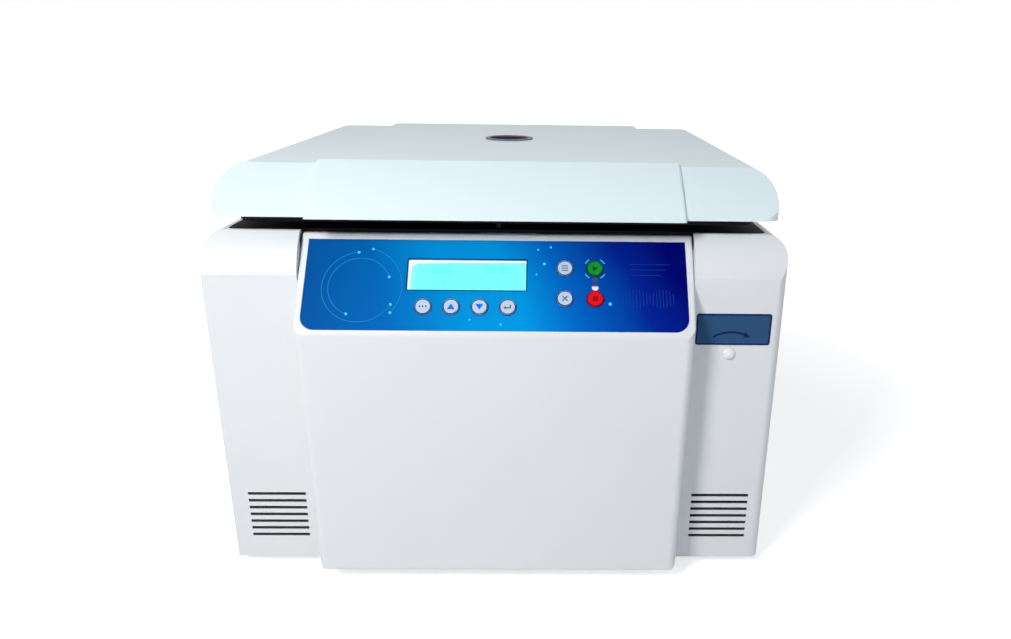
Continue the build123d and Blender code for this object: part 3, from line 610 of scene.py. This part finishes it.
ink_navy = ink("ink_navy", srgb(6, 26, 84))
ink_blue = ink("ink_blue", srgb(0, 118, 236))
ink_grey = ink("ink_grey", srgb(92, 96, 120))
ink_dark_green = ink("ink_dark_green", srgb(0, 74, 26))
ink_dark_red = ink("ink_dark_red", srgb(160, 0, 14))
ink_white = ink("ink_white", srgb(236, 240, 244))
ink_line = ink("ink_line", srgb(34, 146, 206))
# Painted glow: print on the unlit panel film that gives off light.
ink_glow = ink("ink_glow", srgb(60, 206, 244), 0.25)
ink_faint = ink("ink_faint", srgb(16, 62, 160))
ink_teal = ink("ink_teal", srgb(84, 214, 220), 0.3)
ink_bright = ink("ink_bright", srgb(240, 255, 255), 0.6)


def key_symbols():
    """Plain symbols on the caps: arrows, bars, cross, dots, return hook, play and stop signs."""
    size = 3
    up_arrow = [[(-size, -0.75 * size), (size, -0.75 * size), (0, 0.85 * size)]]
    down_arrow = [[(-size, 0.75 * size), (0, -0.85 * size), (size, 0.75 * size)]]
    bars = sum((bar(-2.6, y - 0.4, 2.6, y + 0.4) for y in (-1.9, 0, 1.9)), [])
    cross = stroke((-2, -2), (2, 2), 0.9) + stroke((-2, 2), (-0.4, 0.4), 0.9) + stroke(
        (0.4, -0.4), (2, -2), 0.9)
    dots = sum((disc((x, 0), 0.75) for x in (-2.4, 0, 2.4)), [])
    hook = (bar(-1.6, -1.1, 2.6, -0.2) + bar(1.7, -0.2, 2.6, 1.9)
            + [[(-3.2, -0.65), (-1.4, -2.1), (-1.4, 0.8)]])
    play = [[(-1.9, -2.3), (2.5, 0), (-1.9, 2.3)]]
    stop = bar(-2, -2, 2, 2)
    drawn = {
        "key_up": (up_arrow, ink_blue), "key_down": (down_arrow, ink_blue),
        "key_menu": (bars, ink_grey), "key_exit": (cross, ink_grey),
        "key_set": (dots, ink_grey), "key_enter": (hook, ink_grey),
        "key_start": (play, ink_dark_green), "key_stop": (stop, ink_dark_red),
    }
    for name, (shapes, material) in drawn.items():
        printed(f"{name}_symbol", shapes, over_panel(name), material, name)


def key_rings():
    """Painted shade as dark lines round the caps' edges, and dark lines round the key holes on the
    film.
    """
    low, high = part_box("key_set")
    skirt = 0.8           # how far a key's square skirt stands out past its round cap
    radius = (high.x - low.x) / MM / 2 - skirt
    cap_edge_shade = ring((0, 0), radius - 0.75, radius - 0.1)
    hole_lines = []
    for name in KEYS:
        hole_lines += ring(panel_spot(name), radius + 0.3, radius + 0.7)
        # Painted shade: a darker line along each cap's edge, a darker copy of the cap's own colour on
        # the start and stop keys.
        colour = {"key_start": ink_dark_green, "key_stop": ink_dark_red}.get(name, ink_navy)
        printed(f"{name}_rim", cap_edge_shade, over_panel(name), colour, name)
    printed("key_hole_rings", hole_lines, panel, ink_navy, "machine")


def orbit_motif():
    """Three part circles about one centre with dots of painted glow on them, at the panel's left."""
    centre = (-106, 0.47 * panel_height)
    lines = []
    dots = []
    for radius, start, end in ((24, 20, 250), (29, 95, 330), (33, -40, 75)):
        lines += ring(centre, radius - 0.2, radius + 0.2, radians(start), radians(end), 60)
        for angle in (radians(start), radians(end)):
            spot = (centre[0] + radius * cos(angle), centre[1] + radius * sin(angle))
            dots += disc(spot, 1.1, 16)
    printed("orbit_lines", lines, panel, ink_line, "machine")
    printed("orbit_dots", dots, panel, ink_glow, "machine")


def wave_motif():
    """A faint row of upright marks that rises and falls, under three lines, at the panel's right."""
    marks = []
    for n in range(16):
        height = 3 + 5 * abs(sin(0.4 * n))
        x = 98 + 2.6 * n
        marks += bar(x, 0.36 * panel_height - height, x + 0.5, 0.36 * panel_height + height)
    for n in range(3):
        up = (0.62 + 0.06 * n) * panel_height
        marks += bar(104, up, 128 + 4 * n, up + 0.4)
    printed("wave_marks", marks, panel, ink_faint, "machine")


def spark_motif():
    """A few dots beside the display and short arcs round the start key, both in painted glow."""
    dots = []
    for x, share, radius in ((32, 0.9, 0.8), (37, 0.74, 1.1), (31, 0.62, 0.7), (42, 0.93, 0.9),
                             (88, 0.3, 1.3), (-20, 0.12, 0.8), (4, 0.07, 0.9)):
        dots += disc((x, share * panel_height), radius, 16)
    for turn in range(4):
        dots += ring(panel_spot("key_start"), 8.4, 9.1, radians(30 + 90 * turn),
                     radians(60 + 90 * turn), 8)
    printed("spark_dots", dots, panel, ink_glow, "machine")


def display_print():
    """The painted shadow line round the display's opening, its bright upper left edge and faint
    noughts.
    """
    low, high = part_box("display_glass")
    hidden = 6            # how much wider and higher the glass is than the opening before it
    width = (high.x - low.x) / MM - hidden
    height = (reach("display_glass", panel_up) + reach("display_glass", -panel_up)) / MM - hidden
    line = 0.9
    # Painted shadow: a navy line round the display opening, standing in for the shade at the
    # opening's edge.
    edge = border(panel_spot("display_glass"), width + 2 * line, height + 2 * line, 1.2, line)
    printed("display_painted_shadow_line", edge, panel, ink_navy, "machine")
    glass = over_panel("display_glass")
    left, top = -width / 2, height / 2
    edge_light = [[(left, top), (left, -top), (left + 1.5, -top), (left + 2, top - 4),
                   (left + 8, top - 2.2), (left + 30, top - 1.6), (-left, top - 1), (-left, top)]]
    printed("display_edge_light", edge_light, glass, ink_bright, "machine")
    noughts = digits("0000", left + 0.2 * width, 0.1 * height, 5.5)
    noughts += digits("00:00", left + 0.66 * width, 0.1 * height, 5.5)
    noughts += digits("0", left + 0.3 * width, -0.3 * height, 4)
    noughts += digits("0", left + 0.74 * width, -0.3 * height, 4)
    printed("display_noughts", noughts, glass, ink_teal, "machine")


def label_print():
    """The label's dark edge and a curved arrow that says which way to turn."""
    place = on_node("release_label", X_AXIS, Z_AXIS)
    low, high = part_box("release_label")
    width, height = (high.x - low.x) / MM, (high.z - low.z) / MM
    shapes = border((0, 0), width, height, 2, 1.3)
    radius, half_line, half_head = 28, 0.8, 2.3
    centre = (-1.3, -2.2 - radius)
    tail, neck, tip = radians(122), radians(68), radians(57)
    shapes += ring(centre, radius - half_line, radius + half_line, neck, tail, 24)
    shapes.append([(centre[0] + r * cos(a), centre[1] + r * sin(a))
                   for r, a in ((radius, tip), (radius + half_head, neck),
                                (radius - half_head, neck))])
    printed("label_arrow", shapes, place, ink_navy, "machine")


def plug_dome():
    """The hand-release plug: a round shank, a narrow upright rim and a domed head."""
    place = on_node("release_plug", X_AXIS, Z_AXIS)
    low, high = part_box("release_plug")
    spare = 0.01
    radius = (high.x - low.x) / MM / 2 - spare
    length = (high.y - low.y) / MM - spare
    head, rim = 3.2, 0.3
    shank = 0.74 * radius
    profile = [(0.72 * radius, -length), (shank, -length + 0.3), (shank, -head),
               (0.97 * radius, -head), (radius, -head + 0.2)]
    rise = head - rim - spare
    profile += [(radius * cos(radians(angle)), -head + rim + rise * sin(radians(angle)))
                for angle in range(8, 86, 7)]
    piece = turned("release_plug_dome", profile, place, plug_white, "release_plug")
    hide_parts("release_plug")


def rotor_numbers():
    """The place numbers of the four buckets, marked on the rotor between its arms."""
    middle = on_node("rotor_cross", X_AXIS, Y_AXIS)(0, 0)
    for n in range(4):
        angle = radians(45 + 90 * n)
        outward = X_AXIS * cos(angle) + Y_AXIS * sin(angle)
        place = surface(middle, -outward.cross(Z_AXIS), outward)
        printed(f"place_number_{n + 1}", digits(str(n + 1), -2.6, 29, 8), place, ink_grey,
                "rotor")


def rocker_marks():
    """The on and off marks of the power switch."""
    mesh = nodes["power_rocker"].data
    outer = [polygon for polygon in mesh.polygons if polygon.normal.y > 0.3]
    for name, upper in (("on_mark", True), ("off_mark", False)):
        half = [p for p in outer if (p.center.z > centre_of("power_rocker").z) == upper]
        normal = sum((p.normal * p.area for p in half), Vector((0, 0, 0))).normalized()
        middle = sum((p.center * p.area for p in half), Vector((0, 0, 0))) / sum(
            p.area for p in half)
        up = normal.cross(-X_AXIS)
        place = surface(middle, -X_AXIS, up)
        shapes = bar(-0.45, -2.2, 0.45, 2.2) if upper else ring((0, 0), 1.5, 2.3)
        printed(f"rocker_{name}", shapes, place, ink_white, "power_rocker")


# Screws

def span(node, axis, inset):
    """Two places near the ends of a CAD node's box along one axis, about its middle."""
    low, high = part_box(node)
    half = (getattr(high, axis) - getattr(low, axis)) / MM / 2 - inset
    return -half, half


def rear_panel_screws():
    """Screws round the rear panel's edge."""
    left, right = span("rear_panel", "x", 9)
    low, high = span("rear_panel", "z", 12)
    spots = [(x, z) for x in (left, 0, right) for z in (low, high)] + [(left, 0), (right, 0)]
    screws("rear_panel_screws", spots, on_node("rear_panel", -X_AXIS, Z_AXIS), 3.2, zinc_steel,
           "machine")


def side_screws(name, node, insets, up, radius, material, body):
    """Three screws along each side of a level CAD node, above it or below it."""
    left, right = span(node, "x", insets[0])
    low, high = span(node, "y", insets[1])
    spots = [(x, y) for x in (left, right) for y in (low, 0, high)]
    screws(name, spots, on_node(node, X_AXIS, up), radius, material, body)


key_symbols()
key_rings()
orbit_motif()
wave_motif()
spark_motif()
display_print()
label_print()
plug_dome()
rotor_numbers()
rocker_marks()
rear_panel_screws()
side_screws("deck_screws", "top_deck", (12, 45), Y_AXIS, 3, black_paint, "machine")
side_screws("base_screws", "base_plate", (12, 12), -Y_AXIS, 3.2, zinc_steel, "machine")
side_screws("liner_screws", "lid_liner", (41, 46), -Y_AXIS, 3, black_paint, "lid")

# Camera, light and floor

def add_camera():
    """The photograph's viewpoint, fitted to the edges of the machine."""
    position = Vector((37.6, -791.9, 428.0)) * MM
    tilt, yaw, roll = radians(18.78), radians(1.1), radians(0.8)
    focal_pixels = 780.3
    axis_offset = 53.4
    forward = Vector((sin(yaw) * cos(tilt), cos(yaw) * cos(tilt), -sin(tilt)))
    right = Vector((cos(yaw), -sin(yaw), 0))
    up = right.cross(forward)
    side = right * cos(roll) + up * sin(roll)
    top = up * cos(roll) - right * sin(roll)
    data = bpy.data.cameras.new("camera")
    data.sensor_width = SENSOR_WIDTH
    data.lens = SENSOR_WIDTH * focal_pixels / PHOTO_WIDTH
    data.shift_x = -axis_offset / PHOTO_WIDTH
    data.clip_start = 0.01
    camera = bpy.data.objects.new("camera", data)
    rotation = Matrix((side, top, -forward)).transposed().to_4x4()
    camera.matrix_world = Matrix.Translation(position) @ rotation
    bpy.context.scene.collection.objects.link(camera)
    bpy.context.scene.camera = camera


def add_light(name, position, size, power, colour=(1, 1, 1)):
    """A soft square lamp that faces the machine, with its power in watts."""
    data = bpy.data.lights.new(name, "AREA")
    data.size = size
    data.energy = power
    data.color = colour
    lamp = bpy.data.objects.new(name, data)
    target = Vector((0, 0, 0.18))
    lamp.location = position
    lamp.rotation_euler = (target - Vector(position)).to_track_quat("-Z", "Y").to_euler()
    bpy.context.scene.collection.objects.link(lamp)


def seen_or_mirrored(tree):
    """1 for camera, glossy and transmission rays, 0 for the rays that carry light."""
    path = tree.nodes.new("ShaderNodeLightPath")
    total = path.outputs["Is Camera Ray"]
    for name in ("Is Glossy Ray", "Is Transmission Ray"):
        node = tree.nodes.new("ShaderNodeMath")
        node.operation = "MAXIMUM"
        tree.links.new(total, node.inputs[0])
        tree.links.new(path.outputs[name], node.inputs[1])
        total = node.outputs["Value"]
    return total


def white_world(level):
    """White behind the machine, and an even light of the given level round it."""
    world = bpy.data.worlds.new("world")
    world.use_nodes = True
    bpy.context.scene.world = world
    tree = world.node_tree
    background = tree.nodes["Background"]
    background.inputs["Color"].default_value = (1, 1, 1, 1)
    strength = tree.nodes.new("ShaderNodeMapRange")
    strength.inputs["To Min"].default_value = level
    tree.links.new(seen_or_mirrored(tree), strength.inputs["Value"])
    tree.links.new(strength.outputs["Result"], background.inputs["Strength"])


def add_floor():
    """A pale bench top that keeps the shadow near the machine and runs out into white."""
    material, shader = start_material("floor", Roughness=0.9, Base_Color=srgb(222, 222, 224))
    distance = add(material, "ShaderNodeVectorMath", operation="LENGTH")
    link(material, place_coordinates(material), distance.inputs[0])
    shadow_reach, white_reach, least_lift = 0.4, 1.2, 0.58
    lift = add(material, "ShaderNodeMapRange", {
        "From Min": shadow_reach, "From Max": white_reach, "To Min": least_lift, "To Max": 1})
    link(material, distance.outputs["Value"], lift.inputs["Value"])
    strength = combined(material, "MULTIPLY", lift.outputs["Result"],
                        seen_or_mirrored(material.node_tree))
    shader.inputs["Emission Color"].default_value = (1, 1, 1, 1)
    link(material, strength, shader.inputs["Emission Strength"])
    half = 40
    mesh = bpy.data.meshes.new("floor")
    mesh.from_pydata([(-half, -half, 0), (half, -half, 0), (half, half, 0), (-half, half, 0)], [],
                     [(0, 1, 2, 3)])
    mesh.materials.append(material)
    floor = bpy.data.objects.new("floor", mesh)
    bpy.context.scene.collection.objects.link(floor)


add_camera()
add_light("key_light", (-0.6, -1.1, 1.0), 0.3, 12.4)
add_light("fill_light", (1.2, -1.5, 1.1), 1.4, 5.2, (0.75, 0.88, 1))
add_light("rear_light", (1.6, 1.5, 0.45), 1.2, 8)
white_world(0.26)
add_floor()

bpy.context.scene.view_settings.view_transform = "Standard"
